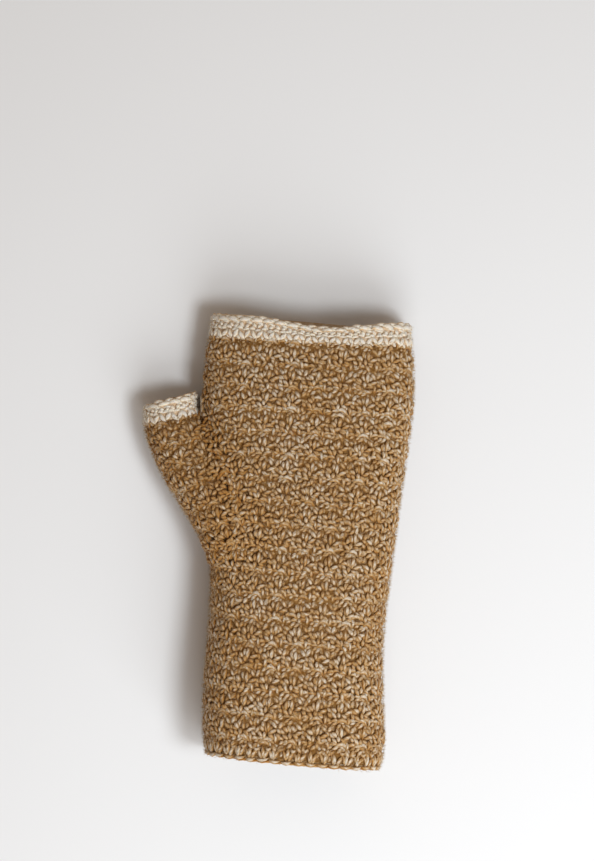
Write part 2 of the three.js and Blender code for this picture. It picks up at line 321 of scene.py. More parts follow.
class Tube:
    """A tube through a table of sections, ready to be asked for places on its outside."""

    STEP = 1.0
    POINTS = 240
    FINENESS = 4  # how many points of a section's outline are worked out for each one kept
    BEFORE = 2.0  # how far the stations run past the ends
    AFTER = 4.0
    SIDE_STEP = 0.4  # between the two points that give the direction around
    DEPTH_TO_SPARE = 2.2

    def __init__(self, table):
        self.rows = np.array(table)
        steps = np.hypot(*np.diff(self.rows[:, :2], axis=0).T)
        self.at = np.concatenate([[0.0], np.cumsum(steps)])
        self.length = self.at[-1]
        self.slopes = np.empty_like(self.rows)
        self.slopes[1:-1] = (self.rows[2:] - self.rows[:-2]) / (self.at[2:] - self.at[:-2])[:, None]
        self.slopes[0] = (self.rows[1] - self.rows[0]) / (self.at[1] - self.at[0])
        self.slopes[-1] = (self.rows[-1] - self.rows[-2]) / (self.at[-1] - self.at[-2])
        self.stations = np.arange(-self.BEFORE, self.length + self.AFTER, self.STEP)
        rings = [self.even_ring(self.section(d)) for d in self.stations]
        self.grid = np.array([ring for ring, _ in rings])
        self.round = np.array([length for _, length in rings])
        around = np.roll(self.grid, -1, axis=1) - np.roll(self.grid, 1, axis=1)
        along = np.gradient(self.grid, axis=0)
        normals = np.cross(around, along)
        self.normals = normals / np.linalg.norm(normals, axis=2, keepdims=True)
        self.tree = self.solid()
        self.deepest = np.min(self.rows[:, 2:4], axis=1).max() / 2 + self.DEPTH_TO_SPARE

    def section(self, distance):
        """The measures of the tube at a distance, on a smooth curve through the table's rows."""
        i = int(np.clip(np.searchsorted(self.at, distance) - 1, 0, len(self.at) - 2))
        span = self.at[i + 1] - self.at[i]
        t = (distance - self.at[i]) / span
        start, end = self.rows[i], self.rows[i + 1]
        leave, arrive = self.slopes[i] * span, self.slopes[i + 1] * span
        bend = 2 * (start - end) + leave + arrive
        return Section(*(start + t * (leave + t * (3 * (end - start) - 2 * leave - arrive + t * bend))))

    def even_ring(self, section):
        """One section's outline from its top over the +X side, in evenly spaced points, and its length."""
        angle = np.pi / 2 - np.linspace(0, 2 * np.pi, self.FINENESS * self.POINTS + 1)
        power = 2 / SQUARENESS
        across = section.width / 2 * np.sign(np.cos(angle)) * np.abs(np.cos(angle)) ** power
        middle = (section.height - SINK) / 2
        half = (section.height + SINK) / 2
        up = middle + half * np.sign(np.sin(angle)) * np.abs(np.sin(angle)) ** power
        turn = np.radians(section.turn)
        ring = np.column_stack(
            [
                section.x - MIDDLE[0] + across * np.cos(turn),
                section.y - MIDDLE[1] + across * np.sin(turn),
                np.maximum(up, 0.0),
            ]
        )
        steps = np.linalg.norm(np.diff(ring, axis=0), axis=1)
        at = np.concatenate([[0.0], np.cumsum(steps)])
        even = np.linspace(0, at[-1], self.POINTS + 1)[:-1]
        return np.column_stack([np.interp(even, at, ring[:, k]) for k in range(3)]), at[-1]

    def blend(self, values, distance, around):
        """Values of the grid between its stations and points; around is in turns."""
        row = np.clip((distance - self.stations[0]) / self.STEP, 0, len(self.stations) - 1.001)
        column = (around % 1.0) * self.POINTS
        i, j = int(row), int(column) % self.POINTS
        a, b = row - int(row), column - int(column)
        k = (j + 1) % self.POINTS
        return (1 - a) * ((1 - b) * values[i, j] + b * values[i, k]) + a * (
            (1 - b) * values[i + 1, j] + b * values[i + 1, k]
        )

    def perimeter(self, distance):
        """How far it is around the tube at a distance."""
        return float(np.interp(distance, self.stations, self.round))

    def place(self, distance, around):
        """The point on the outside there, with the directions around, towards the end, and outwards."""
        point = self.blend(self.grid, distance, around)
        out = self.blend(self.normals, distance, around)
        out = out / np.linalg.norm(out)
        ahead = self.blend(self.grid, distance, around + self.SIDE_STEP / self.perimeter(distance))
        side = ahead - point
        side = side - out * np.dot(side, out)
        side = side / np.linalg.norm(side)
        return point, side, np.cross(out, side), out

    def solid(self):
        """The tube's outside as a tree that finds the nearest place on it."""
        count = len(self.grid)
        vertices = [Vector(p) for p in self.grid.reshape(-1, 3)]
        faces = []
        for i in range(count - 1):
            for j in range(self.POINTS):
                k = (j + 1) % self.POINTS
                a, b = i * self.POINTS, (i + 1) * self.POINTS
                faces.append((a + j, a + k, b + k, b + j))
        faces.append(tuple(reversed(range(self.POINTS))))
        faces.append(tuple(range((count - 1) * self.POINTS, count * self.POINTS)))
        return BVHTree.FromPolygons(vertices, faces)


def outside_by(tube, point):
    """How far a point lies outside a tube; less than nothing when it is inside. A point farther off
    than the middle of the tube is always outside, whatever the nearest face says."""
    nearest, normal, _, gap = tube.tree.find_nearest(Vector(point))
    return gap if gap > tube.deepest or (Vector(point) - nearest).dot(normal) > 0 else -gap


# Strands of yarn


def strand_mesh(name, points, width, sides):
    """A short length of yarn along a path in mm, pressed a little flat, and thin and low at its ends."""
    rings = YARN_RINGS
    along = np.linspace(0, 1, len(points))
    degree = 2 if len(points) > 2 else 1
    fit_x = np.polyfit(along, [p[0] for p in points], degree)
    fit_y = np.polyfit(along, [p[1] for p in points], degree)
    t = np.linspace(-YARN_REACH, 1 + YARN_REACH, rings)
    part = np.linspace(-1, 1, rings)
    path = np.column_stack([np.polyval(fit_x, t), np.polyval(fit_y, t), -YARN_BOW * part**2])
    taper = YARN_END + (1 - YARN_END) * np.cos(part * np.pi / 2) ** YARN_TAPER
    tangent = np.gradient(path, axis=0)
    tangent = tangent / np.linalg.norm(tangent, axis=1, keepdims=True)
    side = np.cross(tangent, [0.0, 0.0, 1.0])
    side = side / np.linalg.norm(side, axis=1, keepdims=True)
    up = np.cross(side, tangent)
    lengths = np.concatenate([[0.0], np.cumsum(np.linalg.norm(np.diff(path, axis=0), axis=1))])

    vertices = []
    for i in range(rings):
        for j in range(sides):
            angle = 2 * np.pi * j / sides
            offset = side[i] * np.cos(angle) * YARN_SPREAD + up[i] * np.sin(angle) * YARN_RISE
            vertices.append(path[i] + width / 2 * taper[i] * offset)
    first, last = len(vertices), len(vertices) + 1
    vertices.append(path[0] - tangent[0] * width * YARN_TIP)
    vertices.append(path[-1] + tangent[-1] * width * YARN_TIP)
    # How near the middle each ring lies, stored as lift: the material fades the painted highlight with it, as
    # painted shade towards the ends
    middling = np.append(np.repeat(1 - part**2, sides), [0.0, 0.0])

    faces, corners = [], []
    for i in range(rings - 1):
        for j in range(sides):
            k = (j + 1) % sides
            faces.append((i * sides + j, i * sides + k, (i + 1) * sides + k, (i + 1) * sides + j))
            corners += [j / sides, lengths[i], (j + 1) / sides, lengths[i]]
            corners += [(j + 1) / sides, lengths[i + 1], j / sides, lengths[i + 1]]
    end = (rings - 1) * sides
    for j in range(sides):
        k = (j + 1) % sides
        faces.append((first, k, j))
        corners += [(j + 0.5) / sides, 0.0, (j + 1) / sides, 0.0, j / sides, 0.0]
        faces.append((last, end + j, end + k))
        corners += [(j + 0.5) / sides, lengths[-1], j / sides, lengths[-1], (j + 1) / sides, lengths[-1]]

    mesh = bpy.data.meshes.new(name)
    mesh.from_pydata([tuple(v * MM) for v in vertices], [], faces)
    mesh.uv_layers.new(name="yarn").data.foreach_set("uv", corners)
    lift = mesh.attributes.new("lift", "FLOAT", "POINT")
    lift.data.foreach_set("value", middling)
    mesh.update()
    return mesh


Kit = namedtuple("Kit", "collection strands middles")


def strand_kit(name, strands, across, down, sides=YARN_SIDES):
    """A collection with an object for each kind of strand, centred on its own middle, and the middles
    as parts of the repeat (across, down)."""
    collection = bpy.data.collections.new(name)
    middles = []
    for number, strand in enumerate(strands):
        points = [(p[0] * across, -p[1] * down) for p in strand.path]
        middle = np.mean([points[0], points[-1]], axis=0)
        middles.append((middle[0] / across, -middle[1] / down))
        centred = [(p[0] - middle[0], p[1] - middle[1]) for p in points]
        mesh = strand_mesh(f"{name}_{number:02d}", centred, strand.width, sides)
        collection.objects.link(bpy.data.objects.new(mesh.name, mesh))
    return Kit(collection, strands, middles)


def chosen(strands, names):
    """The strands of a table that have these names."""
    return [strand for strand in strands if strand.name in names]


Laid = namedtuple("Laid", "point turn kind size shade")


def frame_at(side, ahead, out):
    """The turn that lays a strand flat on the form there."""
    return Matrix((side, ahead, out)).transposed().to_euler()


def lay_strand(tube, other, distance, around, kind, lift, size, swell=0.0, inwards=0.0, near=JOIN_SPREAD):
    """One strand on a tube, or None where the other tube covers it. Near the other tube the fabric is
    drawn outwards, so that the two run into each other. Inwards is the wall's thickness for a strand
    on the inside, and 0 outside."""
    point, side, ahead, out = tube.place(distance, around)
    gap = outside_by(other, point - out * inwards) if other else FAR
    if inwards:
        limit = (HAND_INNER_LIMIT if tube is HAND_TUBE else INNER_LIMIT) - inwards
        place = point - out * (inwards + lift + swell - YARN_DEPTH)
        side, out = -side, -out
    else:
        limit = OUTER_LIMIT
        pull = max(0.0, near - abs(gap)) ** 2 / (4 * near)
        place = point + out * (pull + lift + swell - YARN_DEPTH)
    if gap < limit:
        return None
    # Painted light and shade: a strand is paler the more it stands out and deeper the lower it lies, and
    # deeper still in the crease near the other tube
    painted_join_shade = JOIN_PAINTED_SHADE * max(0.0, 1 - abs(gap) / JOIN_SHADE_WIDTH)
    return Laid(place, frame_at(side, ahead, out), kind, size, lift - painted_join_shade)


def new_object(name, data):
    """An object in the scene."""
    thing = bpy.data.objects.new(name, data)
    bpy.context.scene.collection.objects.link(thing)
    return thing


def points_object(name, laid):
    """The laid strands as a mesh of loose points that carry their kind, turn and size."""
    mesh = bpy.data.meshes.new(name)
    mesh.from_pydata([tuple(np.array(one.point) * MM) for one in laid], [], [])
    kinds = mesh.attributes.new("kind", "INT", "POINT")
    kinds.data.foreach_set("value", [one.kind for one in laid])
    turns = mesh.attributes.new("turn", "FLOAT_VECTOR", "POINT")
    turns.data.foreach_set("vector", [angle for one in laid for angle in one.turn])
    sizes = mesh.attributes.new("size", "FLOAT_VECTOR", "POINT")
    sizes.data.foreach_set("vector", [value for one in laid for value in one.size])
    shades = mesh.attributes.new("shade", "FLOAT", "POINT")
    shades.data.foreach_set("value", [one.shade for one in laid])
    return new_object(name, mesh)


HAND_TUBE = Tube(HAND)
THUMB_TUBE = Tube(THUMB)


def lip_sag(point):
    """How far the finger edging's lip dips at a point in mm, the same on the back and the palm side."""
    off = abs(point[0] - SAG_MIDDLE)
    return SAG * math.cos(math.pi / 2 * off / SAG_REACH) ** 2 if off < SAG_REACH else 0.0


def round_swell(round_at):
    """How far the fabric stands out there in mm: each pair of rounds swells, with a dip between pairs."""
    return -SWELL * math.cos(2 * math.pi * (round_at - DIP_AT))


def swapped(kit, kind, chance):
    """The kind itself, or now and then another, since no stitch is quite like the next."""
    often = ARC_SWAP_CHANCE if kit.strands[kind].name == "arc" else SWAP_CHANCE
    return int(chance.integers(len(kit.strands))) if chance.random() < often else kind


def hand_strands(kit, chance, start, end, inwards=0.0):
    """Strands over the hand tube, for the round pairs from start to end counted from the fingers."""
    laid = []
    for pair in range(int(start) - 2, int(end) + 2):
        for column in range(COLUMNS):
            own_swell = chance.normal(0, STITCH_SWELL)
            for kind, (across, down) in enumerate(kit.middles):
                round_at = pair + down
                if not start <= round_at < end:
                    continue
                distance = FIRST_ROUND_PAIR - round_at * (ROUND_PAIR + ROUND_PAIR_GROWTH * round_at)
                distance += chance.normal(0, PLACE_SPREAD)
                length = HAND_TUBE.perimeter(distance)
                lean = np.interp(distance, *zip(*LEAN)) + chance.normal(0, PLACE_SPREAD)
                around = lean / length + (column + across) / COLUMNS
                high = 1 + 2 * ROUND_PAIR_GROWTH * round_at / ROUND_PAIR
                size = (length / COLUMNS / REPEAT_WIDTH, high, 1)
                swell = round_swell(round_at) + own_swell
                lift = kit.strands[kind].lift
                lies = swapped(kit, kind, chance)
                laid.append(
                    lay_strand(HAND_TUBE, THUMB_TUBE, distance, around, lies, lift, size, swell, inwards)
                )
    return [one for one in laid if one]


def joining_strands(kit, chance, join):
    """Strands laid at random on the hand tube where it lies close to the gusset's."""
    laid = []
    while len(laid) < join.count:
        distance = chance.uniform(join.start, join.end)
        around = chance.uniform(*JOIN_SIDE)
        point = HAND_TUBE.place(distance, around)[0]
        if not join.near <= outside_by(THUMB_TUBE, point) <= join.far:
            continue
        kind = int(chance.integers(len(kit.strands)))
        one = lay_strand(
            HAND_TUBE, THUMB_TUBE, distance, around, kind, join.lift, (1, 1, 1), near=JOIN_STRAND_SPREAD
        )
        if one:
            laid.append(one)
    return laid


def thumb_strands(kit, chance, inwards=0.0):
    """Strands over the gusset, in rounds counted down from the thumb's opening."""
    laid = []
    for pair in range(-2, int(THUMB_END / THUMB_ROUND_PAIR) + 1):
        for kind, (across, down) in enumerate(kit.middles):
            distance = THUMB_END - (pair + down) * THUMB_ROUND_PAIR
            if not THUMB_START <= distance <= THUMB_END:
                continue
            length = THUMB_TUBE.perimeter(THUMB_END - (pair + 0.5) * THUMB_ROUND_PAIR)
            columns = round(length / REPEAT_WIDTH)
            size = (length / columns / REPEAT_WIDTH, 1, 1)
            lift = kit.strands[kind].lift
            swell = round_swell(down)
            for column in range(columns):
                at = distance + chance.normal(0, PLACE_SPREAD)
                around = (column + across) / columns + chance.normal(0, PLACE_SPREAD) / length
                lies = swapped(kit, kind, chance)
                laid.append(lay_strand(THUMB_TUBE, HAND_TUBE, at, around, lies, lift, size, swell, inwards))
    # Painted shade: the whole gusset is made darker, as if it turned away from the light
    return [one._replace(shade=one.shade - GUSSET_PAINTED_SHADE) for one in laid if one]


def edge_strands(
    tube, lip, kit, chance, count, depth=1.0, towards=-1.0, inwards=0.0, spread=EDGE_SPREAD, sags=False
):
    """Strands of an edging or a chain, so many stitches around an end of a tube, down from its lip, or
    up from it where towards is 1. The depth is that of the edging as a part of the table's."""
    laid = []
    for stitch in range(count):
        for kind, (across, down) in enumerate(kit.middles):
            around = (stitch + across) / count
            sag = lip_sag(tube.place(lip, around)[0]) if sags else 0.0
            high = depth * (1 - sag / EDGING_DEPTH)
            distance = lip - sag + towards * down * high + chance.normal(0, spread)
            length = tube.perimeter(distance)
            around += chance.normal(0, spread) / length
            size = (length / count / EDGING_STITCH, high, 1)
            lift = kit.strands[kind].lift
            laid.append(lay_strand(tube, None, distance, around, kind, lift, size, inwards=inwards))
    return laid


def rim_strands(tube, end, kit, chance, count, facing, sags=False):
    """Strands on the end face of a tube's wall; facing is 1 at an upper end and -1 at the wrist."""
    laid = []
    for stitch in range(count):
        for kind, (across, down) in enumerate(kit.middles):
            around = (stitch + across) / count
            sag = lip_sag(tube.place(end, around)[0]) if sags else 0.0
            point, side, ahead, out = tube.place(end - sag, around)
            face = ahead * facing
            place = point - out * down + face * kit.strands[kind].lift
            lean = chance.normal(0, RIM_TURN_SPREAD)
            along = side * math.cos(lean) - out * facing * math.sin(lean)
            turn = frame_at(along, np.cross(face, along), face)
            laid.append(Laid(place, turn, kind, (1, 1, 1), 0.0))
    return laid


def fibres_over(tube, other, start, end, count, chance, sags=False):
    """Loose fibres at random over a stretch of a tube, standing just off the yarn."""
    laid = []
    while len(laid) < count:
        distance = chance.uniform(start, end)
        around = chance.random()
        point, side, ahead, out = tube.place(distance, around)
        covered = other and outside_by(other, point) < 0
        if covered or sags and distance > end - lip_sag(point):
            continue
        heading = chance.uniform(0, 2 * math.pi)
        along = side * math.cos(heading) + ahead * math.sin(heading)
        place = point + out * chance.uniform(*FIBRE_PLACE)
        turn = frame_at(along, np.cross(out, along), out)
        laid.append(Laid(place, turn, int(chance.integers(FIBRE_KINDS)), (1, 1, 1), 0.0))
    return laid


def fibre_kit(name, chance):
    """A collection of short loose fibres that stand off the yarn, each a thin spike that leans over."""
    collection = bpy.data.collections.new(name)
    for number in range(FIBRE_KINDS):
        tip = (chance.uniform(*FIBRE_LEAN), 0.0, chance.uniform(*FIBRE_HEIGHT))
        root = [(FIBRE * math.cos(a), FIBRE * math.sin(a), FIBRE_ROOT) for a in (0.0, 2.1, 4.2)]
        mesh = bpy.data.meshes.new(f"{name}_{number:02d}")
        faces = [(2, 1, 0), (0, 1, 3), (1, 2, 3), (2, 0, 3)]
        mesh.from_pydata([tuple(MM * v for v in corner) for corner in (*root, tip)], [], faces)
        mesh.uv_layers.new(name="yarn").data.foreach_set("uv", FIBRE_UV * (3 * len(faces)))
        lift = mesh.attributes.new("lift", "FLOAT", "POINT")
        lift.data.foreach_set("value", [FIBRE_LIFT] * 4)
        collection.objects.link(bpy.data.objects.new(mesh.name, mesh))
    return collection


# Materials


def set_inputs(tree, node, inputs):
    """Give each input its value, or link it to the socket given for it."""
    for name, value in inputs.items():
        if isinstance(value, bpy.types.NodeSocket):
            tree.links.new(value, node.inputs[name])
        else:
            node.inputs[name].default_value = value


def add_node(tree, kind, place, inputs=None, **choices):
    """A node at a place in its tree, with its choices and its inputs."""
    node = tree.nodes.new(kind)
    node.location = place
    for name, value in choices.items():
        setattr(node, name, value)
    set_inputs(tree, node, inputs or {})
    return node


def maths(tree, operation, place, *values):
    """What comes out of a sum on values, each a socket or a number."""
    return add_node(tree, "ShaderNodeMath", place, dict(enumerate(values)), operation=operation).outputs[0]


def vector_maths(tree, operation, place, *values):
    """The same for vectors."""
    inputs = dict(enumerate(values))
    return add_node(tree, "ShaderNodeVectorMath", place, inputs, operation=operation).outputs[0]


def noise(tree, place, where, scale, detail):
    """What noise gives at the places of a socket."""
    inputs = {"Vector": where, "Scale": scale, "Detail": detail}
    return add_node(tree, "ShaderNodeTexNoise", place, inputs).outputs["Fac"]


def bump(tree, place, height, strength, distance):
    """The surface's turn under a height, where the distance is in mm."""
    inputs = {"Height": height, "Strength": strength, "Distance": distance * MM}
    return add_node(tree, "ShaderNodeBump", place, inputs).outputs[0]


def ramp(tree, place, factor, stops):
    """A colour ramp driven by a factor."""
    node = add_node(tree, "ShaderNodeValToRGB", place, {"Fac": factor})
    elements = node.color_ramp.elements
    while len(elements) < len(stops):
        elements.new(0.5)
    for element, (position, colour) in zip(elements, stops):
        element.position = position
        element.color = (*colour, 1.0)
    return node.outputs["Color"]


def new_material(name):
    """A material with its node tree and its shader."""
    material = bpy.data.materials.new(name)
    material.use_nodes = True
    return material, material.node_tree, material.node_tree.nodes["Principled BSDF"]


def yarn_material(name, colours, tone_share, fibre_share):
    """Plied yarn: fibres wind round each strand, and every strand has its own tone. Painted light and shade
    run the colour from the deepest of the four, where a strand dives under or lies low, to the palest in a
    painted highlight along its top."""
    material, tree, shader = new_material(name)
    place = add_node(tree, "ShaderNodeUVMap", (-1400, 0), uv_map="yarn")
    split = add_node(tree, "ShaderNodeSeparateXYZ", (-1220, 0), {0: place.outputs[0]}).outputs
    tone, lift, shade = [
        add_node(tree, "ShaderNodeAttribute", (-1400, height), attribute_name=stored).outputs["Fac"]
        for stored, height in (("tone", -260), ("lift", -460), ("shade", 620))
    ]

    turned = maths(tree, "MULTIPLY_ADD", (-1040, 60), split["Y"], TWIST, split["X"])
    wave = maths(tree, "SINE", (-700, 160), maths(tree, "MULTIPLY", (-860, 160), turned, PLIES * 2 * math.pi))
    winding = {
        "X": maths(tree, "MULTIPLY", (-1040, -100), turned, FIBRES_AROUND),
        "Y": maths(tree, "MULTIPLY", (-1040, -220), split["Y"], FIBRES_ALONG),
        "Z": maths(tree, "MULTIPLY", (-1040, -340), tone, TONES_APART),
    }
    wound = add_node(tree, "ShaderNodeCombineXYZ", (-860, -60), winding).outputs[0]
    fibres = noise(tree, (-680, -60), wound, 1.0, 2.0)
    on_object = add_node(tree, "ShaderNodeTexCoord", (-1040, 420)).outputs["Object"]
    patches = noise(tree, (-860, 420), on_object, PATCHES, 1.0)

    # Painted highlight: a pale band along the top of each strand, faded by lift towards the ends as painted
    # shade where the strand dives under
    around = maths(tree, "SINE", (-740, 560), maths(tree, "MULTIPLY", (-900, 560), split["X"], 2 * math.pi))
    top = maths(tree, "POWER", (-460, 560), maths(tree, "MAXIMUM", (-600, 560), around, 0.0), HIGHLIGHT_POWER)
    band = maths(tree, "MULTIPLY", (-320, 560), top, lift)
    value = maths(tree, "MULTIPLY", (-520, 260), band, HIGHLIGHT_SHARE)
    # Painted light and shade from how high each strand lies, then its own tone, its fibres, patches of tone
    # and its plies
    for source, share, middle in (
        (shade, SHADE_SHARE, 0.0),
        (tone, tone_share, 0.5),
        (fibres, fibre_share, 0.5),
        (patches, PATCH_SHARE, 0.5),
        (wave, PLY_SHARE, 0.0),
    ):
        less = maths(tree, "SUBTRACT", (-420, 200), source, middle)
        part = maths(tree, "MULTIPLY", (-340, 200), less, share)
        value = maths(tree, "ADD", (-260, 260), value, part)

    height = maths(tree, "MULTIPLY_ADD", (-160, -420), wave, 0.5, fibres)
    looks = {
        "Base Color": ramp(tree, (0, 60), value, list(zip(COLOUR_STOPS, colours))),
        "Normal": bump(tree, (0, -300), height, 0.55, 0.16),
        "Roughness": 0.70,
        "Specular IOR Level": 0.12,
        "Sheen Weight": 0.10,
        "Sheen Roughness": 0.5,
        "Subsurface Weight": 0.30,
        "Subsurface Radius": (1.0, 0.8, 0.55),
        "Subsurface Scale": 0.8 * MM,
    }
    set_inputs(tree, shader, looks)
    return material


def ground_material(name, dark, light):
    """The fabric behind the stitches: the same yarn, darkened as painted shade between the strands."""
    material, tree, shader = new_material(name)
    on_object = add_node(tree, "ShaderNodeTexCoord", (-900, 0)).outputs["Object"]
    grain = noise(tree, (-680, 0), on_object, 900.0, 3.0)
    looks = {
        "Base Color": ramp(tree, (-440, 0), grain, [(0.35, dark), (0.70, light)]),
        "Normal": bump(tree, (-240, -240), grain, 0.8, 0.5),
        "Roughness": 0.9,
        "Specular IOR Level": 0.2,
    }
    set_inputs(tree, shader, looks)
    return material


def colours_of(look):
    """A yarn's four colours, from the deepest to the palest."""
    depths = ("deep", "dark", "middle", "light")
    return [tuple(getattr(settings(), f"{look.colour}_{depth}")) for depth in depths]


def yarn(slot):
    """The yarn of a slot."""
    look = LOOKS[slot]
    name = look.colour.title() + " yarn"
    return bpy.data.materials.get(name) or yarn_material(name, colours_of(look), look.tone, look.fibres)


def ground(slot):
    """The fabric behind a slot's stitches."""
    look = LOOKS[slot]
    name = look.colour.title() + " ground"
    deep, dark = [tuple(left * c for c in colour) for left, colour in zip(look.behind, colours_of(look))]
    return bpy.data.materials.get(name) or ground_material(name, deep, dark)


# Geometry nodes


def enabled(sockets, name):
    """The socket of that name that the node's data type uses."""
    return next(socket for socket in sockets if socket.name == name and socket.enabled)


def stored_value(tree, name, kind, place):
    """What the points carry under a name."""
    return add_node(tree, "GeometryNodeInputNamedAttribute", place, {"Name": name}, data_type=kind).outputs[0]


def random_vector(tree, place, reach, seed):
    """A vector that lies at random within its reach to either side."""
    inputs = {"Min": tuple(-part for part in reach), "Max": reach, "Seed": seed}
    return add_node(tree, "FunctionNodeRandomValue", place, inputs, data_type="FLOAT_VECTOR").outputs["Value"]


def stitches_tree():
    tree = bpy.data.node_groups.new("Lay strands", "GeometryNodeTree")
    tree.interface.new_socket("Geometry", in_out="INPUT", socket_type="NodeSocketGeometry")
    for name, kind in (
        ("Strand Kit", "NodeSocketCollection"),
        ("Yarn", "NodeSocketMaterial"),
        ("Turn Spread", "NodeSocketFloat"),
        ("Size Spread", "NodeSocketFloat"),
        ("Table Height", "NodeSocketFloat"),
        ("Seed", "NodeSocketInt"),
    ):
        tree.interface.new_socket(name, in_out="INPUT", socket_type=kind)
    tree.interface.new_socket("Geometry", in_out="OUTPUT", socket_type="NodeSocketGeometry")
    given = add_node(tree, "NodeGroupInput", (-1400, 0)).outputs

    kit = add_node(
        tree,
        "GeometryNodeCollectionInfo",
        (-900, -200),
        {"Collection": given["Strand Kit"], "Separate Children": True, "Reset Children": True},
    )
    kind = stored_value(tree, "kind", "INT", (-900, -420))
    turn = stored_value(tree, "turn", "FLOAT_VECTOR", (-1200, -600))
    size = stored_value(tree, "size", "FLOAT_VECTOR", (-900, -1100))

    random_turn = random_vector(tree, (-1200, -800), (0.6, 0.6, 1.0), given["Seed"])
    spread = vector_maths(tree, "MULTIPLY", (-1000, -800), random_turn, given["Turn Spread"])
    lie = add_node(tree, "FunctionNodeEulerToRotation", (-820, -620), {0: turn})
    twist = add_node(tree, "FunctionNodeEulerToRotation", (-820, -800), {0: spread})
    both = {0: lie.outputs[0], 1: twist.outputs[0]}
    turned = add_node(tree, "FunctionNodeRotateRotation", (-620, -660), both, rotation_space="LOCAL")

    next_seed = maths(tree, "ADD", (-1100, -1300), given["Seed"], 7.0)
    random_size = random_vector(tree, (-900, -1300), (1.0, 1.0, 1.0), next_seed)
    scaled = vector_maths(tree, "MULTIPLY", (-700, -1300), random_size, given["Size Spread"])
    grown = vector_maths(tree, "MULTIPLY_ADD", (-500, -1200), scaled, size, size)
    lay = add_node(
        tree,
        "GeometryNodeInstanceOnPoints",
        (-300, 0),
        {
            "Points": given["Geometry"],
            "Instance": kit.outputs[0],
            "Pick Instance": True,
            "Instance Index": kind,
            "Rotation": turned.outputs[0],
            "Scale": grown,
        },
    )

    random_tone = add_node(
        tree, "FunctionNodeRandomValue", (-200, -300), {"Seed": given["Seed"]}, data_type="FLOAT"
    )
    tone = add_node(
        tree,
        "GeometryNodeStoreNamedAttribute",
        (0, 0),
        {"Geometry": lay.outputs[0], "Name": "tone"},
        data_type="FLOAT",
        domain="INSTANCE",
    )
    tree.links.new(enabled(random_tone.outputs, "Value"), enabled(tone.inputs, "Value"))
    real = add_node(tree, "GeometryNodeRealizeInstances", (220, 0), {0: tone.outputs[0]})

    where = add_node(tree, "GeometryNodeInputPosition", (220, -300))
    parts = add_node(tree, "ShaderNodeSeparateXYZ", (380, -300), {0: where.outputs[0]}).outputs
    above = maths(tree, "MAXIMUM", (540, -380), parts["Z"], given["Table Height"])
    pressed = {"X": parts["X"], "Y": parts["Y"], "Z": above}
    joined = add_node(tree, "ShaderNodeCombineXYZ", (700, -300), pressed)
    made = real.outputs[0]
    for kind, place, inputs in (
        ("GeometryNodeSetPosition", (700, 0), {"Position": joined.outputs[0]}),
        ("GeometryNodeSetShadeSmooth", (920, 0), {}),
        ("GeometryNodeSetMaterial", (1140, 0), {"Material": given["Yarn"]}),
    ):
        made = add_node(tree, kind, place, {"Geometry": made, **inputs}).outputs[0]
    add_node(tree, "NodeGroupOutput", (1500, 0), {0: made})
    return tree


def made_plain(thing, name, material):
    """The evaluated object as a plain mesh object of that name, in place of the one with modifiers."""
    graph = bpy.context.evaluated_depsgraph_get()
    mesh = bpy.data.meshes.new_from_object(thing.evaluated_get(graph), depsgraph=graph)
    bpy.data.objects.remove(thing)
    mesh.name = name
    mesh.materials.clear()
    mesh.materials.append(material)
    for used_up in ("kind", "turn", "size"):
        if used_up in mesh.attributes:
            mesh.attributes.remove(mesh.attributes[used_up])
    return new_object(name, mesh)


def finished(piece, node=None):
    """The piece rides with the object, and may replace a node."""
    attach(piece, "root")
    if node:
        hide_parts(node)


def crocheted(name, laid, collection, slot):
    """All the laid strands as one piece."""
    thing = points_object(name + "_points", laid)
    modifier = thing.modifiers.new("Lay strands", "NODES")
    modifier.node_group = bpy.data.node_groups.get("Lay strands") or stitches_tree()
    given = {
        "Strand Kit": collection,
        "Yarn": yarn(slot),
        "Turn Spread": settings().turn_spread,
        "Size Spread": settings().size_spread,
        "Table Height": TABLE_GAP * MM,
        "Seed": settings().seed + SEEDS[name],
    }
    for item in modifier.node_group.interface.items_tree:
        if item.in_out == "INPUT" and item.name in given:
            modifier[item.identifier] = given[item.name]
    finished(made_plain(thing, name, yarn(slot)))


def backing(node, slot, sags=False):
    """The frame's own wall as a piece, drawn in a little on both sides and made a little longer, to
    close the fabric behind the stitches."""
    name = node + "_ground"
    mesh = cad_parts[node].data.copy()
    mesh.name = name
    low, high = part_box(node)
    middle = (low.y + high.y) / 2
    stretch = 1 + WALLS[node].longer * MM / (high.y - low.y)
    longer_by = Matrix.Translation((0, middle * (1 - stretch), 0)) @ Matrix.Diagonal((1, stretch, 1, 1))
    mesh.transform(longer_by)
    for vertex in mesh.vertices if sags else ():
        share = max(0.0, (vertex.co.y - low.y) / (high.y - low.y))
        vertex.co.y -= share * lip_sag(vertex.co / MM) * MM
    thing = new_object(name, mesh)
    weld = thing.modifiers.new("Join", "WELD")
    weld.merge_threshold = 0.01 * MM
    draw_in = thing.modifiers.new("Draw in", "DISPLACE")
    draw_in.strength = -WALLS[node].depth * MM
    draw_in.mid_level = 0.0
    made = made_plain(thing, name, ground(slot))
    for polygon in made.data.polygons:
        polygon.use_smooth = True
    finished(made, node)


# What a user may change


def colour(name, description, default):
    """A colour that a user may change."""
    return FloatVectorProperty(
        name=name, description=description, subtype="COLOR", default=default, min=0, max=1
    )


